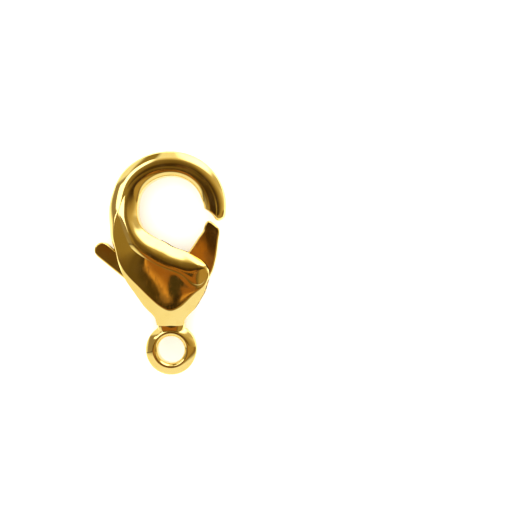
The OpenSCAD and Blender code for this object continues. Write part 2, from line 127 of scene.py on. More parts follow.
# %% The table of sections
ANGLE, INNER, BAR, PLATE, RISE, CREST, CREASE, EDGE = range(8)
Z_IN, Z_CREST, Z_CREASE, Z_EDGE, Z_RIM, SLOPE = range(8, 14)
SECTIONS = np.array([
    [ -1.5, 1.01, 0.97, 0.00, 0.00, 0.340, 0.590, 0.640, 0.50, 0.98, 0.965, 0.985, 0.36, 2.0],
    [ 20.0, 0.95, 1.00, 0.03, 0.00, 0.310, 0.510, 0.570, 0.50, 0.98, 0.965, 0.990, 0.36, 2.0],
    [ 50.0, 0.94, 1.00, 0.04, 0.00, 0.290, 0.410, 0.500, 0.50, 0.99, 0.975, 1.000, 0.36, 2.0],
    [ 90.0, 0.93, 1.00, 0.05, 0.00, 0.280, 0.370, 0.480, 0.50, 1.00, 0.990, 1.000, 0.36, 2.0],
    [120.0, 0.95, 1.00, 0.07, 0.00, 0.310, 0.400, 0.480, 0.50, 1.00, 0.995, 1.000, 0.36, 2.0],
    [150.0, 0.99, 1.00, 0.09, 0.05, 0.370, 0.460, 0.500, 0.50, 1.00, 0.995, 0.995, 0.38, 1.9],
    [165.0, 1.00, 1.00, 0.09, 0.12, 0.400, 0.480, 0.520, 0.52, 1.00, 0.990, 0.980, 0.40, 1.7],
    [180.0, 1.01, 1.00, 0.11, 0.27, 0.420, 0.520, 0.590, 0.54, 1.00, 0.970, 0.945, 0.44, 1.5],
    [195.0, 1.04, 1.00, 0.12, 0.50, 0.430, 0.590, 0.790, 0.55, 1.00, 0.935, 0.915, 0.51, 1.4],
    [207.0, 1.06, 1.00, 0.17, 0.68, 0.400, 0.540, 0.880, 0.56, 1.00, 0.915, 0.900, 0.64, 1.3],
    [218.0, 1.07, 1.00, 0.22, 0.82, 0.410, 0.545, 0.945, 0.56, 1.00, 0.910, 0.890, 0.75, 1.2],
    [226.0, 1.06, 1.00, 0.32, 0.90, 0.400, 0.530, 0.955, 0.56, 1.00, 0.915, 0.885, 0.76, 1.2],
    [233.0, 1.05, 1.00, 0.42, 0.94, 0.375, 0.480, 0.935, 0.57, 1.00, 0.930, 0.880, 0.74, 1.1],
    [239.0, 1.05, 1.00, 0.51, 0.97, 0.345, 0.435, 0.900, 0.58, 1.00, 0.950, 0.880, 0.73, 1.0],
    [248.0, 1.06, 1.00, 0.64, 1.00, 0.320, 0.386, 0.854, 0.60, 1.00, 0.965, 0.885, 0.68, 1.0],
    [256.0, 1.08, 1.00, 0.81, 1.00, 0.295, 0.347, 0.816, 0.61, 1.00, 0.970, 0.890, 0.62, 1.0],
    [261.0, 1.10, 1.00, 0.91, 1.00, 0.284, 0.333, 0.813, 0.62, 1.00, 0.970, 0.890, 0.59, 1.0],
    [262.5, 1.11, 1.00, 0.97, 1.00, 0.275, 0.320, 0.794, 0.62, 1.00, 0.970, 0.890, 0.55, 1.0],
    [263.3, 1.12, 1.00, 1.06, 1.00, 0.256, 0.299, 0.752, 0.62, 1.00, 0.970, 0.890, 0.45, 1.0],
    [270.0, 1.20, 1.00, 1.01, 1.00, 0.260, 0.304, 0.809, 0.63, 1.00, 0.970, 0.890, 0.56, 1.0],
    [276.3, 1.27, 1.00, 0.97, 1.00, 0.270, 0.322, 0.746, 0.64, 1.00, 0.970, 0.890, 0.47, 1.0],
    [277.2, 1.28, 1.00, 0.87, 1.00, 0.295, 0.350, 0.783, 0.64, 1.00, 0.970, 0.890, 0.55, 1.0],
    [279.0, 1.30, 1.00, 0.80, 1.00, 0.315, 0.385, 0.784, 0.65, 1.00, 0.965, 0.890, 0.57, 1.0],
    [283.0, 1.35, 1.00, 0.68, 1.00, 0.370, 0.490, 0.766, 0.65, 1.00, 0.955, 0.885, 0.57, 1.0],
    [287.0, 1.41, 1.00, 0.53, 1.00, 0.430, 0.660, 0.800, 0.66, 1.00, 0.940, 0.885, 0.645, 1.0],
    [291.0, 1.49, 1.00, 0.38, 1.00, 0.460, 0.790, 0.860, 0.66, 1.00, 0.920, 0.880, 0.72, 1.1],
    [295.0, 1.63, 0.90, 0.21, 1.00, 0.480, 0.880, 0.930, 0.66, 1.00, 0.905, 0.885, 0.785, 1.3],
    [298.0, 1.77, 0.75, 0.11, 0.96, 0.490, 0.890, 0.940, 0.66, 1.00, 0.900, 0.885, 0.805, 1.5],
    [300.0, 1.88, 0.52, 0.07, 0.86, 0.500, 0.890, 0.950, 0.68, 1.00, 0.900, 0.885, 0.815, 1.8],
    [301.2, 2.00, 0.30, 0.03, 0.70, 0.500, 0.890, 0.950, 0.74, 1.00, 0.905, 0.885, 0.825, 2.0],
])
BAR_W, PLATE_H, HOOK_T, BODY_T = 1.5, 3.8, 1.24, 2.24
print("sections in the table:", len(SECTIONS))

# %% [markdown]
# ## One section
# A section is drawn from its row in four short curves and mirrored to the back, because
# both faces of the clasp are alike. The steps crowd together where a curve turns quickly,
# at the inner wall, the crease, the edge of the plateau and the rim. Each curve is a power
# of the distance from its top: 0.5 gives the quarter of an ellipse, more a flatter start.

# %% The curves of one section
LOBE_POWER, LOBE_SPREAD, ELLIPSE = 1.6, 0.35, 0.5
GROOVE, STEPS = 0.12, 12


def width(row):
    return BAR_W * row[BAR] + PLATE_H * row[PLATE]


def half_thickness(row):
    return (HOOK_T + (BODY_T - HOOK_T) * row[RISE]) / 2


def face_height(row, u):
    """Height of the face at places u across the section, as a share of half its thickness."""
    def safe(x):
        return np.maximum(x, 0)
    lobe_in = row[Z_IN] + (row[Z_CREST] - row[Z_IN]) * safe(
        1 - (safe(row[CREST] - u) / row[CREST]) ** 2) ** (ELLIPSE + LOBE_SPREAD * row[RISE])
    lobe_out = row[Z_CREASE] + (row[Z_CREST] - row[Z_CREASE]) * safe(
        1 - (safe(u - row[CREST]) / (row[CREASE] - row[CREST])) ** LOBE_POWER)
    plateau = row[Z_EDGE] + (row[Z_CREASE] - row[Z_EDGE]) * (
        safe(row[EDGE] - u) / (row[EDGE] - row[CREASE])) ** (1 + row[RISE])
    flange = row[Z_RIM] + (row[Z_EDGE] - row[Z_RIM]) * safe(
        1 - (safe(u - row[EDGE]) / (1 - row[EDGE])) ** row[SLOPE]) ** (1 / row[SLOPE])
    return np.where(u < row[CREST], lobe_in, np.where(
        u < row[CREASE], lobe_out, np.where(u < row[EDGE], plateau, flange)))


def section(row):
    """One closed section as rows of place across, radius and height."""
    t = np.arange(STEPS) / STEPS
    turn = np.radians(90 * t)
    u = np.concatenate([
        row[CREST] * (1 - np.cos(turn)),
        row[CREST] + (row[CREASE] - row[CREST]) * np.sin(turn),
        row[CREASE] + (row[EDGE] - row[CREASE]) * (1 - np.cos(2 * turn)) / 2,
        row[EDGE] + (1 - row[EDGE]) * np.sin(turn), [1]])
    inner, half = HOOK_R * row[INNER], half_thickness(row)
    face = np.stack([u, inner + width(row) * u, half * face_height(row, u)], 1)
    down = np.arange(1, STEPS // 2 + 1) / (STEPS // 2)
    groove = np.stack([np.ones(len(down)), inner + width(row) - GROOVE * down ** 2,
                       half * row[Z_RIM] * (1 - down)], 1)
    front = np.concatenate([face, groove])
    back = front[-2::-1] * [1, 1, -1]
    return np.concatenate([front, back])


print("points in one section:", len(section(SECTIONS[0])))

# %% [markdown]
# ## Making a mesh, and cutting one with another
# Every piece is a closed mesh in the row frame, and its object stays at the origin. The
# loft joins a row of equal loops with four-sided faces and closes each end with a fan. A
# face that turns by less than the given angle is shaded smooth, so that the polish shows no
# facets and the creases stay crisp. The slot and the pin's holes are cut with a Boolean.

# %% Meshes, lofts and cuts
def link(name, mesh):
    obj = bpy.data.objects.new(name, mesh)
    bpy.context.scene.collection.objects.link(obj)
    return obj


def smooth(mesh, fold):
    mesh.shade_smooth()
    mesh.set_sharp_from_angle(angle=math.radians(fold))


def loft(name, loops):
    """A closed mesh through a row of loops with equally many points."""
    loops = np.asarray(loops, float)
    m, n = loops.shape[:2]
    points = np.concatenate([loops.reshape(-1, 3), [loops[0].mean(0)], [loops[-1].mean(0)]])
    j, i = np.meshgrid(np.arange(m - 1), np.arange(n), indexing="ij")
    a, b = (j * n + i).ravel(), (j * n + (i + 1) % n).ravel()
    sides = np.stack([a, b, b + n, a + n], 1).tolist()
    k, last = np.arange(n), (m - 1) * n
    near = np.stack([(k + 1) % n, k, np.full(n, m * n)], 1).tolist()
    far = np.stack([last + k, last + (k + 1) % n, np.full(n, m * n + 1)], 1).tolist()
    mesh = bpy.data.meshes.new(name)
    mesh.from_pydata((points * MM).tolist(), [], sides + near + far)
    return link(name, mesh)


def baked(obj):
    """A plain mesh of the object with its modifiers. The modifiers are removed."""
    mesh = bpy.data.meshes.new_from_object(
        obj.evaluated_get(bpy.context.evaluated_depsgraph_get()))
    obj.modifiers.clear()
    return mesh


def boolean(obj, tool, operation):
    """Cuts or joins the tool, which is then deleted."""
    change = obj.modifiers.new(operation, "BOOLEAN")
    change.object, change.operation, change.solver = tool, operation, "EXACT"
    obj.data = baked(obj)
    bpy.data.objects.remove(tool)
    return obj


def slab(name, outline, centre, thickness):
    """A block with this outline in the plane of the clasp, half its thickness each way."""
    low = np.array([(x, y, -thickness / 2) for x, y in outline]) + centre
    return loft(name, [low, low + [0, 0, thickness]])


def triangles(obj):
    obj.data.calc_loop_triangles()
    return len(obj.data.loop_triangles)


def volume(obj):
    shape = bmesh.new()
    shape.from_mesh(obj.data)
    found = shape.calc_volume(signed=True) / MM ** 3
    shape.free()
    return round(found, 2)


# %% [markdown]
# ## The cast body
# The hook and the plates are one skin, a section every half degree or so. The hook's end is
# cut on the slant, so the sections near it lean back, and the last few shrink to round the
# edge off. The table's values pass through a soft average along the bar, because a polisher
# takes every ripple out of the metal, but not at the neck, whose shoulders are crisp.

# %% Loft the hook and the plates
TIP_SLANT, TIP_LIP, TIP_LIFT, TIP_FADE = 16.4, 0.62, 9, 30
TIP_ROUND, TIP_SHRINK, TIP_STEPS = 0.18, 0.3, 8
HOOK_STEP, BODY_STEP, BODY_FROM = 1.5, 0.6, 150
POLISH, POLISH_TAPS, NECK_FROM, NECK_FADE = 2.5, 17, 255, 4


def polished(angles):
    """Sections at these angles, averaged along the bar. The neck's shoulders stay crisp."""
    reach = np.linspace(-2, 2, POLISH_TAPS)
    weight = np.exp(-reach ** 2 / 2) / np.exp(-reach ** 2 / 2).sum()
    first, last = SECTIONS[0, ANGLE], SECTIONS[-1, ANGLE]
    spread = np.minimum(POLISH, np.minimum(angles - first, last - angles) / 2)

    def averaged(spread):
        return sum(w * np.array([section(row) for row in at(SECTIONS, angles + spread * r)])
                   for r, w in zip(reach, weight))
    soft = averaged(spread)
    crisp = averaged(spread * np.clip((NECK_FROM - angles) / NECK_FADE, 0, 1))
    place = np.arange(soft.shape[1])
    place = np.minimum(place, place[::-1])
    share = np.clip((place - 3 * STEPS) / STEPS, 0, 1)[:, None]
    return soft + (crisp - soft) * share


def lean(angle, u):
    """How far a section leans back near the hook's tip, in degrees."""
    fade = max(0, 1 - (angle - SECTIONS[0, ANGLE]) / TIP_FADE)
    lift = np.maximum(0, (u - TIP_LIP) / (1 - TIP_LIP)) ** 2
    return fade ** 2 * (TIP_LIFT * lift - TIP_SLANT * u)


def loop(angle, profile, shrink=1, back=0):
    """A section at its angle round the opening, in the row frame."""
    u, r, z = profile.T
    middle = (r.min() + r.max()) / 2
    r = middle + (r - middle) * shrink
    turn = np.radians(angle + lean(angle, u) - back)
    return opening + np.stack([r * np.cos(turn), r * np.sin(turn), z * shrink], 1)


angles = np.concatenate([
    np.linspace(a, b, max(1, math.ceil((b - a) / (HOOK_STEP if a < BODY_FROM else BODY_STEP))),
                endpoint=False) for a, b in zip(SECTIONS[:-1, ANGLE], SECTIONS[1:, ANGLE])]
    + [SECTIONS[-1:, ANGLE]])
profiles = polished(angles)
tip_middle = HOOK_R * SECTIONS[0, INNER] + width(SECTIONS[0]) / 2
rounding = [loop(angles[0], profiles[0], 1 - TIP_SHRINK * (1 - math.cos(t)),
                 math.degrees(TIP_ROUND / tip_middle) * math.sin(t))
            for t in np.radians(np.linspace(90, 0, TIP_STEPS, endpoint=False))]
body = loft("cast_body", rounding + [loop(a, p) for a, p in zip(angles, profiles)])
print("sections lofted:", len(angles), "volume in mm3:", volume(body))

# %% [markdown]
# ## The slot between the plates
# The real body is hollow, so that the lever swings between two thin plates. The slot is a
# second loft round the same centre. Its roof follows the outside of the plate a wall's
# thickness away, its far end is an arc round the lever's boss, and it opens into the hook's
# opening where the gate passes.

# %% Loft the slot
WALL, RIB, SIDE_GAP, SLOT_SHARE = 0.26, 0.6, 0.06, 0.64
BOSS_R, BOSS_GAP, STOP_GAP = 1.15, 0.2, 0.07
TAB_W, TAB_DROP, TAB_ANGLE, OPEN_ANGLE = 1.1, 0.48, 141, 25
SLOT_FROM, SLOT_GATE, NECK_TO, SLOT_TO, SLOT_BLEND, SLOT_OVER = 208, 251, 281, 304, 1.6, 0.2
SLOT_STEP, SLOT_CUTS, DOWN = 1.2, 16, 270
to_pivot = pivot[:2] - opening[:2]
slot_floor = (lever_high - lever_low)[2] / 2 + SIDE_GAP


def ease(x):
    return min(1, max(0, x))


def boss_arc(a):
    """How far out the slot's arc round the boss lies at this angle."""
    off, r = math.radians(a - DOWN), BOSS_R + BOSS_GAP
    return -to_pivot[1] * math.cos(off) + math.sqrt(
        max(0, r * r - (to_pivot[1] * math.sin(off)) ** 2))


def stop_line(a):
    """How far out the edge of the tab lies at this angle when the gate is open."""
    swung, here = math.radians(TAB_ANGLE + OPEN_ANGLE), math.radians(a)
    across = np.array([-math.sin(swung), math.cos(swung)])
    return (TAB_DROP + TAB_W / 2 + STOP_GAP + to_pivot @ across) / (
        np.array([math.cos(here), math.sin(here)]) @ across)


def slot_loop(a):
    """A section of the slot, its roof and the same below."""
    row = at(SECTIONS, min(a, SECTIONS[-1, ANGLE]))[0]
    inner = HOOK_R * row[INNER]
    start = inner + RIB - (RIB + SLOT_OVER) * ease((a - SLOT_GATE) / SLOT_BLEND)
    open_end = inner + width(row) + SLOT_OVER
    if a < DOWN:
        end = min(open_end, max(boss_arc(a), stop_line(a)))
    else:
        closed = min(open_end, boss_arc(a))
        end = open_end + (closed - open_end) * ease((NECK_TO - a) / SLOT_BLEND)
    r = np.linspace(start, end, SLOT_CUTS)
    u = np.clip((r - inner) / width(row), 0, 1)
    roof = np.clip(half_thickness(row) * face_height(row, u) - WALL,
                   slot_floor, SLOT_SHARE * BODY_T / 2)
    turn = math.radians(a)
    top = np.stack([r * math.cos(turn), r * math.sin(turn), roof], 1)
    return opening + np.concatenate([top, top[::-1] * [1, 1, -1]])


slot_stops = [SLOT_FROM, SLOT_GATE, SLOT_GATE + SLOT_BLEND,
              NECK_TO - SLOT_BLEND, NECK_TO, SLOT_TO]
slot_angles = np.concatenate([
    np.linspace(a, b, math.ceil((b - a) / SLOT_STEP), endpoint=False)
    for a, b in zip(slot_stops[:-1], slot_stops[1:])] + [[SLOT_TO]])
slot = loft("slot", [slot_loop(a) for a in slot_angles])
print("slot volume in mm3:", volume(slot))
boolean(body, slot, "DIFFERENCE")
print("body with the slot in mm3:", volume(body))

# %% [markdown]
# ## Values that calculate like numbers
# Materials, lights and Geometry Nodes are all graphs of nodes. They could be wired by hand
# in the editor, but a sum is easier to read as a sum. A small class wraps a socket, so that
# one written in Python adds the Math nodes for it. Three methods turn a value into a mask:
# between two limits, until a limit, or within a band.

# %% A value of a node
class Value:
    """The output of a node, to calculate with."""

    def __init__(self, graph, socket):
        self.graph, self.socket = graph, socket

    def of(self, output):
        return Value(self.graph, self.socket.node.outputs[output])

    def maths(self, operation, *values):
        sockets = dict(enumerate(values))
        return self.graph.node("ShaderNodeMath", {"operation": operation}, sockets)

    def __add__(self, other):
        return self.maths("ADD", self, other)

    def __radd__(self, other):
        return self.maths("ADD", other, self)

    def __sub__(self, other):
        return self.maths("SUBTRACT", self, other)

    def __rsub__(self, other):
        return self.maths("SUBTRACT", other, self)

    def __mul__(self, other):
        return self.maths("MULTIPLY", self, other)

    def __rmul__(self, other):
        return self.maths("MULTIPLY", other, self)

    def __pow__(self, other):
        return self.maths("POWER", self, other)

    def at_most(self, other):
        return self.maths("MINIMUM", self, other)

    def at_least(self, other):
        return self.maths("MAXIMUM", self, other)

    def between(self, low, high):
        """0 below the low value, 1 above the high one, and smooth in between."""
        return self.graph.node("ShaderNodeMapRange", {"interpolation_type": "SMOOTHSTEP"},
                               {"Value": self, "From Min": low, "From Max": high})

    def until(self, low, high):
        """1 below the low value, 0 above the high one."""
        return 1 - self.between(low, high)

    def within(self, low, full, ebb, high):
        """1 from full to ebb, and 0 below the low value and above the high one."""
        return self.between(low, full) - self.between(ebb, high)


print("sums of nodes are written with", Value.__name__)

# %% [markdown]
# ## One way to write every node graph
# Any other node comes from one method, which takes its type, its settings and the values or
# links of its sockets. The settings are made first, because they change which sockets a
# node has. Colours get a method of their own, since a Math node would turn them grey.

# %% A graph of nodes
class Graph:
    """The nodes of a material, of the world or of a Geometry Nodes tree."""

    def __init__(self, tree):
        self.tree = tree
        tree.nodes.clear()

    def node(self, kind, settings=None, sockets=None, output=0):
        node = self.tree.nodes.new(kind)
        for name, value in (settings or {}).items():
            if name == "stops":
                self.set_stops(node.color_ramp, value)
            else:
                setattr(node, name, value)
        for name, value in (sockets or {}).items():
            if isinstance(value, Value):
                self.tree.links.new(value.socket, node.inputs[name])
            else:
                node.inputs[name].default_value = value
        return Value(self, node.outputs[output]) if len(node.outputs) else node

    def set_stops(self, ramp, stops):
        while len(ramp.elements) > 1:
            ramp.elements.remove(ramp.elements[-1])
        for i, (place, colour) in enumerate(stops):
            stop = ramp.elements[0] if i == 0 else ramp.elements.new(place)
            stop.position, stop.color = place, (*colour, 1)

    def mix(self, share, first, second):
        """Colours, mixed by a share."""
        def colour(v):
            return v if isinstance(v, Value) else (*v, 1)
        node = self.tree.nodes.new("ShaderNodeMix")
        node.data_type = "RGBA"
        for name, value in zip(("Factor_Float", "A_Color", "B_Color"),
                               (share, colour(first), colour(second))):
            socket = next(s for s in node.inputs if s.identifier == name)
            if isinstance(value, Value):
                self.tree.links.new(value.socket, socket)
            else:
                socket.default_value = value
        return Value(self, next(s for s in node.outputs if s.identifier == "Result_Color"))


print("node graphs are written with", Graph.__name__)

# %% [markdown]
# ## Gold plate, brass and spring steel
# Polished gold plate takes nearly all of its look from what it reflects. What is its own is
# a warm yellow reflection, deeper where the plating is thick, hairlines from the polishing
# mop, a soft unevenness that a mop leaves on cast metal, and small pits. All of it is in
# object coordinates, in metres, so a scale of 1000 repeats about once in a millimetre. The
# pin and the spring are drawn through a die, so theirs is one recipe with two colours.

# %% A finish for each metal
CLOUD, FILM, HAIRS, WAVES, PITS = 260, 1400, 9000, 700, 5200
WIRE_FILM, WIRE_LINES, BUMP = 1500, 12000, 0.3


def new_finish(name, metal, roughness):
    material = bpy.data.materials.new(name)
    material.use_nodes = True
    graph = Graph(material.node_tree)
    shader = graph.node("ShaderNodeBsdfPrincipled")
    graph.node("ShaderNodeOutputMaterial", sockets={"Surface": shader})
    shader.socket.node.inputs["Metallic"].default_value = metal
    shader.socket.node.inputs["Roughness"].default_value = roughness
    place = graph.node("ShaderNodeTexCoord").of("Object")
    return material, graph, shader.socket.node, place


def feed(graph, shader, name, value):
    graph.tree.links.new(value.socket, shader.inputs[name])


def bump(graph, shader, height, distance):
    feed(graph, shader, "Normal", graph.node("ShaderNodeBump", sockets={
        "Strength": BUMP, "Distance": distance, "Height": height}))


def gold_plate():
    material, graph, shader, place = new_finish("Gold plate, polished", 1, 0.1)

    def noise(scale, detail=2, stretch=(1, 1, 1)):
        spot = graph.node("ShaderNodeMapping", sockets={"Vector": place, "Scale": stretch})
        return graph.node("ShaderNodeTexNoise", {"noise_dimensions": "3D"},
                          {"Vector": spot, "Scale": scale, "Detail": detail})
    cloud = noise(CLOUD).between(0.35, 0.65)
    film = noise(FILM, 4).between(0.45, 0.75)
    colour = graph.mix(cloud, (0.96, 0.72, 0.22), (0.98, 0.77, 0.28))
    feed(graph, shader, "Base Color", graph.mix(film * 0.25, colour, (0.90, 0.62, 0.16)))
    hairlines = noise(HAIRS, 3, (1, 0.12, 1)).between(0.5, 0.8)
    feed(graph, shader, "Roughness", 0.045 + film * 0.05 + hairlines * 0.05)
    pits = noise(PITS, 1).until(0.18, 0.26)
    bump(graph, shader, noise(WAVES, 0) * 0.6 + hairlines * 0.01 - pits * 0.05, 0.03 * MM)
    return material


def drawn_metal(name, dark, light, roughness):
    """Wire or rod as it leaves the drawing die, with fine lines and a little film."""
    material, graph, shader, place = new_finish(name, 1, roughness)

    def noise(scale, detail):
        return graph.node("ShaderNodeTexNoise",
                          sockets={"Vector": place, "Scale": scale, "Detail": detail})
    film, lines = noise(WIRE_FILM, 3), noise(WIRE_LINES, 2)
    feed(graph, shader, "Base Color", graph.mix(film.between(0.3, 0.7), dark, light))
    feed(graph, shader, "Roughness", roughness + lines.between(0.4, 0.7) * 0.15)
    bump(graph, shader, lines, 0.004 * MM)
    return material


def finish_piece(obj, material, fold):
    obj.data.materials.clear()
    obj.data.materials.append(material)
    smooth(obj.data, fold)


gold = gold_plate()
brass = drawn_metal("Pin brass, drawn", (0.80, 0.56, 0.20), (0.90, 0.68, 0.30), 0.22)
steel = drawn_metal("Spring steel, drawn", (0.42, 0.41, 0.39), (0.66, 0.65, 0.62), 0.25)
print("finishes:", gold.name, "/", brass.name, "/", steel.name)

# %% [markdown]
# ## Pieces that follow a path
# The end ring is one profile carried round a circle, and the spring is a round wire along a
# path. Geometry Nodes fit both: the tree takes the path, the profile and the finish as its
# inputs, so another ring or wire needs only other curves. Each result is turned into a
# plain mesh.

# %% Growing a piece from a tree of nodes
def curve(name, points, closed):
    data = bpy.data.curves.new(name, "CURVE")
    data.dimensions = "3D"
    line = data.splines.new("POLY")
    line.points.add(len(points) - 1)
    for p, q in zip(line.points, points):
        p.co = (*(np.array(q, float) * MM), 1)
    line.use_cyclic_u = closed
    return link(name, data)


def new_tree(name, inputs):
    """A tree with a geometry output and these inputs, as name: kind of socket."""
    tree = bpy.data.node_groups.new(name, "GeometryNodeTree")
    tree.interface.new_socket("Geometry", in_out="INPUT", socket_type="NodeSocketGeometry")
    for socket, kind in inputs.items():
        tree.interface.new_socket(socket, in_out="INPUT", socket_type="NodeSocket" + kind)
    tree.interface.new_socket("Geometry", in_out="OUTPUT", socket_type="NodeSocketGeometry")
    graph = Graph(tree)
    return graph, graph.node("NodeGroupInput")


def close_tree(graph, given, shape):
    real = graph.node("GeometryNodeRealizeInstances", sockets={"Geometry": shape})
    done = graph.node("GeometryNodeSetMaterial",
                      sockets={"Geometry": real, "Material": given.of("Finish")})
    graph.node("NodeGroupOutput", sockets={"Geometry": done})


def grow(name, graph, **values):
    """A mesh object made by the tree with these input values."""
    obj = link(name, bpy.data.meshes.new(name))
    grower = obj.modifiers.new(name, "NODES")
    grower.node_group = graph.tree
    known = {item.name: item.identifier for item in graph.tree.interface.items_tree
             if item.in_out == "INPUT"}
    for socket, value in values.items():
        grower[known[socket.replace("_", " ")]] = value
    obj.data = baked(obj)
    return obj


def shape_of(graph, chosen):
    """The geometry of the object that an input names."""
    return graph.node("GeometryNodeObjectInfo", {"transform_space": "ORIGINAL"},
                      {"Object": chosen}, "Geometry")


sweep, given = new_tree("Profile along a path", {
    "Path": "Object", "Profile": "Object", "Finish": "Material"})
close_tree(sweep, given, sweep.node("GeometryNodeCurveToMesh", sockets={
    "Curve": shape_of(sweep, given.of("Path")),
    "Profile Curve": shape_of(sweep, given.of("Profile")), "Fill Caps": True}))
print("tree:", sweep.tree.name, "with", len(sweep.tree.nodes), "nodes")

# %% [markdown]
# ## The end ring and the neck
# The ring is cast in one with the plates. From the bore, whose edge is rounded so that a
# jump ring slides in it, its profile rises to a crest, falls like a low roof to the rim, and
# has the same groove there as the plates. A short block, a little thinner than the ring and
# falling towards it, joins it to the plates and leaves the crisp step seen below them.

# %% Sweep the ring and join it
RING_R, BORE_R, RING_T, BORE_ROUND = 1.7, 0.9, 1.1, 0.26
RING_POWER, RING_SIDES, ROUND_STEPS, RIM_STEPS, PATH_R = 1.3, 160, 10, 5, 1
NECK_W, NECK_CORNER, NECK_SIDES = 1.85, 0.45, 48
# a row for each section of the neck: its place along it, its share of the width and height
NECK_RUN = [(0.4, 1, 0.985), (0, 1, 0.985), (-0.3, 0.96, 0.97), (-0.42, 0.88, 0.94),
            (-0.5, 0.78, 0.85)]
PIN_R, SEAT_GAP, BODY_FOLD = 0.34, 0.01, 28
crest_r, rim_z = BORE_R + BORE_ROUND, RING_T / 4
quarter = np.radians(np.linspace(0, 90, ROUND_STEPS + 1))
fall = np.sin(quarter)
down = np.arange(1, RIM_STEPS + 1) / RIM_STEPS
half_ring = np.concatenate([
    np.stack([BORE_R + BORE_ROUND * (1 - np.cos(quarter)),
              RING_T / 2 - BORE_ROUND * (1 - np.sin(quarter))], 1),
    np.stack([crest_r + (RING_R - crest_r) * fall,
              rim_z + (RING_T / 2 - rim_z) * (1 - fall ** RING_POWER) ** (1 / RING_POWER)], 1)[1:],
    np.stack([RING_R - GROOVE * down ** 2, rim_z * (1 - down)], 1)])
ring_profile = np.concatenate([half_ring, half_ring[-2::-1] * [1, -1]])
turns = np.radians(np.arange(RING_SIDES) * 360 / RING_SIDES)
ring_path = curve(
    "ring_path", [(PATH_R * math.cos(t), PATH_R * math.sin(t), 0) for t in turns], True)
ring_section = curve(
    "ring_section", [(r - PATH_R, z, 0) for r, z in ring_profile[::-1]], True)
ring = grow("end_ring", sweep, Path=ring_path, Profile=ring_section, Finish=gold)
ring.data.transform(Matrix.Translation(ring_centre * MM))
neck_row = at(SECTIONS, DOWN)[0]
neck_y = opening[1] - HOOK_R * neck_row[INNER] - width(neck_row)
corner = np.radians(np.arange(NECK_SIDES) * 360 / NECK_SIDES)
round_block = np.stack([np.cos(corner), np.sin(corner)], 1)
block = np.sign(round_block) * np.abs(round_block) ** NECK_CORNER
neck = loft("neck", [
    [(opening[0] + x * NECK_W / 2 * wide, neck_y + along, mid_z + z * RING_T / 2 * high)
     for x, z in block] for along, wide, high in NECK_RUN])
print("ring volume in mm3:", volume(ring), "neck:", volume(neck))
for extra in (ring_path, ring_section):
    bpy.data.objects.remove(extra)
boolean(body, ring, "UNION")
boolean(body, neck, "UNION")
holes = slab("pin_holes", [(PIN_R * math.cos(t), PIN_R * math.sin(t)) for t in turns[::2]],
             pivot, (pin_high - pin_low)[2] + 2 * SEAT_GAP)
boolean(body, holes, "DIFFERENCE")
finish_piece(body, gold, BODY_FOLD)
print("cast body in mm3:", volume(body), "triangles:", triangles(body))

# %% [markdown]
# ## The lever
# The lever is pressed from strip: a claw-shaped gate, a round boss for the pin and a thumb
# tab. Its outline is drawn once, as one closed line round the three, and softened where
# they meet. The gate has a short table of its two edges, as shares of its length and width,
# and ends just short of the hook's tip, whose place follows from the sections.

# %% Draw the lever's outline
ALONG, OUTER_EDGE, INNER_EDGE = range(3)
GATE = np.array([
    [-0.05, -0.95, 0.90],
    [ 0.20, -1.20, 0.80],
    [ 0.40, -1.34, 0.60],
    [ 0.50, -1.30, 0.54],
    [ 0.63, -1.12, 0.47],
    [ 0.75, -0.88, 0.46],
    [ 0.86, -0.62, 0.42],
    [ 0.94, -0.46, 0.55],
    [ 0.98, -0.32, 0.54],
])
GATE_W, GATE_CROWN, GATE_GAP, LIP_BACK, LIP_ACROSS = 1.15, 0.38, 0.35, 13.7, 0.74
GATE_FROM, GATE_CUTS, TAB_L, TAB_ROOT = 0.25, 24, 6.1, 0.3
BOSS_ABOVE, BOSS_BELOW = (100, 118, 4), (250, 350, 12)
SOFT_STEP, SOFT_REACH, SOFT_TAPS = 0.05, 0.12, 12
lip_turn = math.radians(SECTIONS[0, ANGLE] - LIP_BACK)
lip_r = HOOK_R * SECTIONS[0, INNER] + LIP_ACROSS * width(SECTIONS[0])
to_lip = lip_r * np.array([math.cos(lip_turn), math.sin(lip_turn)]) - to_pivot
gate_l = np.hypot(*to_lip) - GATE_GAP
gate_turn = math.atan2(to_lip[1], to_lip[0])


def turned(points, angle):
    c, s = math.cos(angle), math.sin(angle)
    return np.asarray(points) @ np.array([[c, s], [-s, c]])


def arc(radius, start, end, steps=24):
    t = np.radians(np.linspace(start, end, steps))
    return np.stack([radius * np.cos(t), radius * np.sin(t)], 1)


def softened(points):
    """A closed line through the points, evenly stepped, with its corners rounded."""
    points = np.concatenate([points, points[:1]])
    run = np.concatenate([[0], np.cumsum(np.hypot(*np.diff(points, axis=0).T))])
    t = np.linspace(0, run[-1], int(run[-1] / SOFT_STEP), endpoint=False)
    line = np.stack([np.interp(t, run, points[:, c]) for c in (0, 1)], 1)
    k = np.arange(-SOFT_TAPS, SOFT_TAPS + 1)
    weight = np.exp(-(k * SOFT_STEP / SOFT_REACH) ** 2 / 2)
    return sum(np.roll(line, -i, axis=0) * w for i, w in zip(k, weight)) / weight.sum()


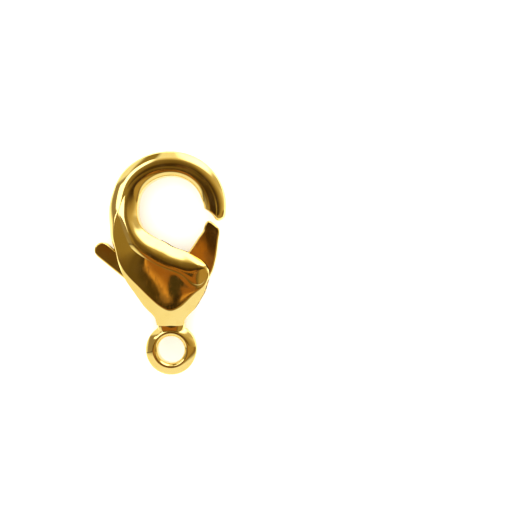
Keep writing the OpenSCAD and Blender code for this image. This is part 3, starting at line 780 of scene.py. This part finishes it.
x = np.linspace(GATE_FROM, GATE[-1, ALONG], GATE_CUTS)
gate_rows = at(GATE, x)
gate_out = np.stack([x * gate_l, gate_rows[:, OUTER_EDGE] * GATE_W], 1)
gate_in = np.stack([x * gate_l, gate_rows[:, INNER_EDGE] * GATE_W], 1)
gate = np.concatenate([gate_out, [[gate_l, GATE_CROWN * GATE_W]], gate_in[::-1]])
tab_end = arc(TAB_W / 2, -90, 90) + [TAB_L - TAB_W / 2, 0]
tab = np.concatenate([[[BOSS_R, -TAB_W / 2]], tab_end, [[BOSS_R * TAB_ROOT, TAB_W / 2]]])
outline = softened(np.concatenate([
    turned(gate, gate_turn), arc(BOSS_R, *BOSS_ABOVE),
    turned(tab + [0, TAB_DROP], math.radians(TAB_ANGLE)), arc(BOSS_R, *BOSS_BELOW)]))
print("outline points:", len(outline), "gate length", round(gate_l, 3))

# %% [markdown]
# ## The lever's rounded sides
# A pressed part has flat faces, and tumbling rounds its edges. A Bevel could round them, but
# a band of lines, set in further and further towards both faces, also says exactly where
# the flat face begins. The last line is set in a little more at the full height, so that
# smooth shading doesn't bend the reflections over the whole flat face.

# %% Round the sides
LEVER_EDGE, HOLE_EDGE, FLAT_EDGE, PIN_GAP = 0.11, 0.05, 0.02, 0.03
EDGE_STEPS, HOLE_SIDES = 6, 48
lever_t = (lever_high - lever_low)[2]


def shifted(points, distance):
    """A closed line moved to its left by a distance."""
    ahead = np.roll(points, -1, axis=0) - np.roll(points, 1, axis=0)
    ahead /= np.hypot(*ahead.T)[:, None]
    return points + distance * ahead @ np.array([[0, 1], [-1, 0]])


def edge_band(name, points, edge):
    """The side of a plate, rounded over at both faces, and the line where it meets them."""
    t = np.radians(np.linspace(0, 90, EDGE_STEPS))
    inset = np.r_[edge + FLAT_EDGE, edge * (1 - np.sin(t))]
    height = np.r_[lever_t / 2, lever_t / 2 - edge * (1 - np.cos(t))]
    inset, height = np.r_[inset, inset[::-1]], np.r_[-height, height[::-1]]
    loops = [np.c_[shifted(points, d), np.full(len(points), h)] for d, h in zip(inset, height)]
    band = loft(name, loops)
    shape = bmesh.new()
    shape.from_mesh(band.data)
    shape.verts.ensure_lookup_table()
    bmesh.ops.delete(shape, geom=list(shape.verts)[-2:], context="VERTS")
    shape.to_mesh(band.data)
    shape.free()
    return band, loops[0][:, :2]


outer_band, outer_line = edge_band("lever_sides", outline, LEVER_EDGE)
hole = arc(PIN_R + PIN_GAP, 360, 360 / HOLE_SIDES, HOLE_SIDES)
hole_band, hole_line = edge_band("hole_side", hole, HOLE_EDGE)
print("triangles of the sides:", triangles(outer_band), "of the hole:", triangles(hole_band))

# %% [markdown]
# ## Pressing the lever
# Geometry Nodes fill the line where the sides meet a face, with the pin's hole in it, move
# the face up and down by half the thickness, and weld both to the sides. The thickness is
# an input, so the same tree presses a plate from any outline and any strip.

# %% Press the lever
WELD, LEVER_FOLD = 0.001, 40
press, given = new_tree("Pressed plate", {
    "Outline": "Object", "Sides": "Object", "Thickness": "Float", "Finish": "Material"})
half = given.of("Thickness") * 0.5
face = press.node("GeometryNodeFillCurve", sockets={
    "Curve": shape_of(press, given.of("Outline"))})
top = press.node("GeometryNodeTransform", sockets={
    "Geometry": face, "Translation": press.node("ShaderNodeCombineXYZ", sockets={"Z": half})})
under = press.node("GeometryNodeTransform", sockets={
    "Geometry": press.node("GeometryNodeFlipFaces", sockets={"Mesh": face}),
    "Translation": press.node("ShaderNodeCombineXYZ", sockets={"Z": 0 - half})})
both = press.node("GeometryNodeJoinGeometry")
for part in (top, under, shape_of(press, given.of("Sides"))):
    press.tree.links.new(part.socket, both.socket.node.inputs[0])
close_tree(press, given, press.node(
    "GeometryNodeMergeByDistance", sockets={"Geometry": both, "Distance": WELD * MM}))
lever_line = curve("lever_line", [(x, y, 0) for x, y in outer_line], True)
round_hole = lever_line.data.splines.new("POLY")
round_hole.points.add(len(hole_line) - 1)
for point, (x, y) in zip(round_hole.points, hole_line):
    point.co = (x * MM, y * MM, 0, 1)
round_hole.use_cyclic_u = True
with_hole = bmesh.new()
with_hole.from_mesh(outer_band.data)
with_hole.from_mesh(hole_band.data)
with_hole.to_mesh(outer_band.data)
with_hole.free()
lever = grow("pressed_lever", press, Outline=lever_line, Sides=outer_band,
             Thickness=float(lever_t * MM), Finish=gold)
for extra in (lever_line, outer_band, hole_band):
    bpy.data.objects.remove(extra)
lever.data.transform(Matrix.Translation([pivot[0] * MM, pivot[1] * MM, mid_z * MM]))
finish_piece(lever, gold, LEVER_FOLD)
print("lever in mm3:", volume(lever), "triangles:", triangles(lever))

# %% [markdown]
# ## The return spring
# A turn of round steel wire lies round the pin, above the lever. One leg bears on the rib
# between the two openings, the other hooks down beside the gate. Only its ends show, deep
# in the slot. The wire is swept along a path of points with the same tree as the ring.

# %% Wind the spring
WIRE_D, COIL_R, COIL_SPREAD, COIL_RISE, WIRE_SIDES = 0.13, 0.56, 0.08, 0.045, 12
COIL_FROM, COIL_TO, COIL_POINTS, SPRING_FOLD = 180, -360, 90, 60
SPRING_GAP, RIB_LEG, GATE_LEG = 0.05, 240, 0.36
pin_roof = np.clip(half_thickness(neck_row) * face_height(
    neck_row, (-to_pivot[1] - HOOK_R * neck_row[INNER]) / width(neck_row)) - WALL,
    slot_floor, SLOT_SHARE * BODY_T / 2)
spring_z = ((lever_high - lever_low)[2] / 2 + float(pin_roof)) / 2
rib_row = at(SECTIONS, RIB_LEG)[0]
rib_r = HOOK_R * rib_row[INNER] + RIB + SPRING_GAP + WIRE_D / 2
rib_turn = math.radians(RIB_LEG)
rib_end = rib_r * np.array([math.cos(rib_turn), math.sin(rib_turn)]) - to_pivot
gate_row = at(GATE, GATE_LEG)[0]
gate_end = turned([(GATE_LEG * gate_l, gate_row[INNER_EDGE] * GATE_W + SPRING_GAP + WIRE_D / 2)],
                  gate_turn)[0]
turn = np.radians(np.linspace(COIL_FROM, COIL_TO, COIL_POINTS))
grow_out = np.linspace(-1, 1, len(turn))
coil = np.stack([(COIL_R + COIL_SPREAD * grow_out) * np.cos(turn),
                 (COIL_R + COIL_SPREAD * grow_out) * np.sin(turn),
                 spring_z + COIL_RISE * grow_out], 1)
legs = np.concatenate([[[*rib_end, coil[0, 2]]], coil,
                       [[*gate_end, coil[-1, 2]]], [[*gate_end, 0]]])


def eased(points, rounds=3):
    """An open path with its corners cut off again and again, which rounds them."""
    for _ in range(rounds):
        a, b = points[:-1], points[1:]
        inner = np.stack([a * 0.75 + b * 0.25, a * 0.25 + b * 0.75], 1).reshape(-1, 3)
        points = np.concatenate([points[:1], inner[1:-1], points[-1:]])
    return points


wire_path = curve("wire_path", eased(legs), False)
wire_round = arc(WIRE_D / 2, 0, 360 - 360 / WIRE_SIDES, WIRE_SIDES)
wire_section = curve("wire_section", [(x, y, 0) for x, y in wire_round], True)
spring = grow("wound_spring", sweep, Path=wire_path, Profile=wire_section, Finish=steel)
for extra in (wire_path, wire_section):
    bpy.data.objects.remove(extra)
spring.data.transform(Matrix.Translation(pivot * MM))
finish_piece(spring, steel, SPRING_FOLD)
print("spring in mm3:", volume(spring), "triangles:", triangles(spring))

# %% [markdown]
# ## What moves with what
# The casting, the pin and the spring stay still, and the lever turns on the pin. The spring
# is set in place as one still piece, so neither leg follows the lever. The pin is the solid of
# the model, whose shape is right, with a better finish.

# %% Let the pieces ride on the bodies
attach(body, "body")
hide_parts("clasp_body")
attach(lever, "gate_lever")
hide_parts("lever")
tuple((pivot - [COIL_R, 0, 0]) * MM)
tuple((pivot + [COIL_R / 2, 0, 0]) * MM)
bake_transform(spring)
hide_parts("return_spring")
pin = frame["nodes"]["pivot_pin"]
pin.data.materials.clear()
pin.data.materials.append(brass)
print("pieces:", body.name, lever.name, spring.name, pin.name)

# %% [markdown]
# ## A white table
# Small polished metal is photographed on an over-lit white table, under a tent of white
# cloth. The table is one large square of matt paper at the height that the clasp lies on.

# %% The table
TABLE, CORNERS = 0.4, ((-1, -1), (1, -1), (1, 1), (-1, 1))
floor_mesh = bpy.data.meshes.new("table")
floor_mesh.from_pydata([(x * TABLE, y * TABLE, 0) for x, y in CORNERS], [], [(0, 1, 2, 3)])
table = link("table", floor_mesh)
paper = bpy.data.materials.new("White table")
paper.use_nodes = True
graph = Graph(paper.node_tree)
place = graph.node("ShaderNodeTexCoord").of("Object")
fibre = graph.node("ShaderNodeTexNoise", sockets={"Vector": place, "Scale": 400, "Detail": 3})
shader = graph.node("ShaderNodeBsdfPrincipled", sockets={
    "Base Color": graph.mix(fibre, (0.90, 0.90, 0.90), (0.94, 0.94, 0.93)), "Roughness": 0.6})
graph.node("ShaderNodeOutputMaterial", sockets={"Surface": shader})
table.data.materials.append(paper)
print("table in mm:", 2 * TABLE / MM)

# %% [markdown]
# ## The cloth of the tent
# Polished metal shows what stands round it, so the tent decides the look. It is the world
# here, and its light depends on the direction in which a reflection leaves: how far east and
# how far north of straight up. Near the middle is the hole that the lens looks in through,
# brown with the room behind it, and further out comes the lit cloth. The cloth towards the
# hook and the one towards the ring each follow a colour ramp over the distance from the hole.

# %% Directions and cloth
HOLE_EAST, HOLE_NORTH, EAST_STRETCH = -0.03, 0.02, 0.5
world = bpy.data.worlds.new("Light tent")
bpy.context.scene.world = world
world.use_nodes = True
sky = Graph(world.node_tree)
look = sky.node("ShaderNodeTexCoord").of("Generated")
split = sky.node("ShaderNodeSeparateXYZ", sockets={"Vector": look})
east, north = split.of("X"), split.of("Y")
aside = east - HOLE_EAST
aside = aside.at_least(0) * EAST_STRETCH + aside.at_most(0)
along = north - HOLE_NORTH
out = (aside * aside + along * along) ** 0.5


def ramp(stops):
    return sky.node("ShaderNodeValToRGB", {"stops": stops}, {"Fac": out})


ring_cloth = ramp([
    (0.05, (0.17, 0.065, 0.011)), (0.16, (0.12, 0.075, 0.017)), (0.42, (0.14, 0.085, 0.02)),
    (0.5, (0.24, 0.15, 0.04)), (0.61, (1.0, 0.96, 0.86))])
hook_cloth = ramp([
    (0.05, (0.04, 0.017, 0.002)), (0.13, (0.07, 0.037, 0.006)), (0.2, (0.16, 0.095, 0.022)),
    (0.3, (0.34, 0.23, 0.07)), (0.42, (0.50, 0.37, 0.15)), (0.5, (0.80, 0.65, 0.38)),
    (0.6, (1.0, 0.98, 0.88))])
print("stops in the two ramps:", [len(cloth.socket.node.color_ramp.elements)
                                  for cloth in (ring_cloth, hook_cloth)])

# %% [markdown]
# ## What hangs on the cloth
# A real tent isn't even. A wooden frame and a gilt card, a seam, a fold and a shadow each
# darken or warm the cloth in one stretch of directions. Every patch is a product of smooth
# steps to the east and to the north, mixed over what is there, so that its edge is as soft
# as cloth in the wall of a tent.

# %% Patches on the cloth
LINE_EAST, LINE_NORTH, LINE_SLOPE = -0.132, -0.086, 0.2
beyond = (east - LINE_EAST) * LINE_SLOPE + LINE_NORTH - north
frame_wood = east.within(-0.55, -0.42, -0.27, -0.2) * north.between(-0.03, 0.08)
gilt_card = east.between(-0.03, 0.12) * north.until(0.03, 0.1) * out.until(0.4, 0.5)
seam = east.within(-0.28, -0.18, -0.02, 0.1) * north.within(0.18, 0.26, 0.38, 0.46)
gilt = east.between(0.2, 0.4) * north.within(0.3, 0.45, 0.58, 0.74)
fold = east.within(-0.98, -0.9, -0.55, -0.42) * north.within(-0.35, -0.12, 0.38, 0.48)
shadow = beyond.within(-0.07, -0.01, 0, 0.01) * east.until(-0.1, -0.08)
hook_cloth = sky.mix(frame_wood, hook_cloth, (0.29, 0.20, 0.055))
ring_cloth = sky.mix(gilt_card, ring_cloth, (0.42, 0.27, 0.08))
tent = sky.mix(north.until(-0.03, 0.03), hook_cloth, ring_cloth)
patches = [
    (seam * 0.6, (0.09, 0.05, 0.008)),
    (gilt * 0.8, (0.52, 0.38, 0.15)),
    (fold * 0.85, (0.20, 0.12, 0.028)),
    (shadow * 0.8, (0.045, 0.024, 0.003)),
]
for share, colour in patches:
    tent = sky.mix(share, tent, colour)
print("patches on the cloth:", 2 + len(patches))

# %% [markdown]
# ## What is near the lens
# The plateau, the gate and the tab lie nearly flat, so they show what is round the lens
# itself: the orange of hands in warm light beyond a straight edge, a dark sleeve across
# them, and the dark oval of the lens. Two soft glows of the same light fall where the flat
# gate and the flat tab mirror the hole.

# %% Hands, sleeve and lens
CUFF_EAST, CUFF_NORTH, CUFF_SLOPE = -0.088, -0.0945, 0.7


def oval(east_at, north_at, east_sharp, north_sharp, low, high):
    """1 inside an ellipse of directions. A sharpness is one over half its width."""
    return (((east - east_at) * east_sharp) ** 2
            + ((north - north_at) * north_sharp) ** 2).until(low, high)


hands = beyond.between(0, 0.008) * north.between(-0.36, -0.28) * east.within(
    -0.45, -0.39, -0.04, 0)
skin = sky.mix(beyond.between(0.010, 0.035), (0.72, 0.34, 0.07), (0.33, 0.12, 0.016))
cuff = north - CUFF_NORTH + (east - CUFF_EAST) * CUFF_SLOPE
sleeve = east.within(-0.122, -0.116, -0.066, -0.058) * cuff.within(-0.016, -0.010, 0.010, 0.016)
nearby = [
    (hands, skin),
    (sleeve, (0.022, 0.011, 0.002)),
    (oval(-0.105, -0.145, 25, 22, 0.85, 1.2), (0.055, 0.036, 0.009)),
    (oval(-0.088, -0.008, 40, 26, 0.6, 1.5), (0.40, 0.15, 0.018)),
    (oval(-0.188, 0.037, 32, 26, 0.6, 1.5), (0.14, 0.055, 0.006)),
]
for share, colour in nearby:
    tent = sky.mix(share, tent, colour)
print("things near the lens:", len(nearby))

# %% [markdown]
# ## Two windows, and the world
# The white bands on the hook are brighter than cloth: they are two lamps, or windows, behind
# the tent's north and west walls. The camera and the matt table see plain white, because
# the photo's background is blown out, and only a mirror ray sees the tent with its patches.

# %% Light the tent
TENT, WINDOW = 2.0, (2.6, 2.6, 2.7)
north_window = north.between(0.45, 0.6) * east.between(-0.06, 0.08) * (
    east - north * 0.8).until(-0.1, 0.15)
west_window = out.within(0.385, 0.45, 0.68, 0.74) * (north + east * 0.45).between(
    -0.07, -0.02) * (1 - north.between(0.31, 0.34) * out.between(0.56, 0.6)) * east.until(
    -0.3, -0.2)
tent = sky.mix(north_window.at_least(west_window), tent, WINDOW)
ray = sky.node("ShaderNodeLightPath")
seen = sky.mix(ray.of("Is Glossy Ray"), (TENT, TENT, TENT), tent)
sky.node("ShaderNodeOutputWorld", sockets={
    "Surface": sky.node("ShaderNodeBackground", sockets={"Color": seen, "Strength": 1.0})})
print("tent brightness:", TENT, "nodes in the sky:", len(sky.tree.nodes))

# %% [markdown]
# ## The camera
# The photograph looks straight down on the clasp from a hand's breadth away, and the clasp
# lies to the left of the middle of the picture. The camera stands over the middle of the
# picture, so the inner wall of the hook shows on its left and upper sides, as it does there.

# %% Place the camera
PIXEL, FRAME, SENSOR = 0.0676, 512, 36
PICTURE_MIDDLE, DISTANCE = (6.45, 0.47), 50
CLIP_NEAR, CLIP_FAR = 1, 2000
lens = bpy.data.cameras.new("camera")
lens.sensor_width = SENSOR
lens.lens = SENSOR * DISTANCE / (PIXEL * FRAME)
lens.dof.use_dof = False
lens.clip_start, lens.clip_end = CLIP_NEAR * MM, CLIP_FAR * MM
camera = bpy.data.objects.new("camera", lens)
bpy.context.scene.collection.objects.link(camera)
camera.location = (PICTURE_MIDDLE[0] * MM, PICTURE_MIDDLE[1] * MM, (mid_z + DISTANCE) * MM)
bpy.context.scene.camera = camera
bpy.context.scene.view_settings.view_transform = "Standard"
bpy.context.scene.view_settings.look = "None"
print("focal length in mm:", round(lens.lens, 1))
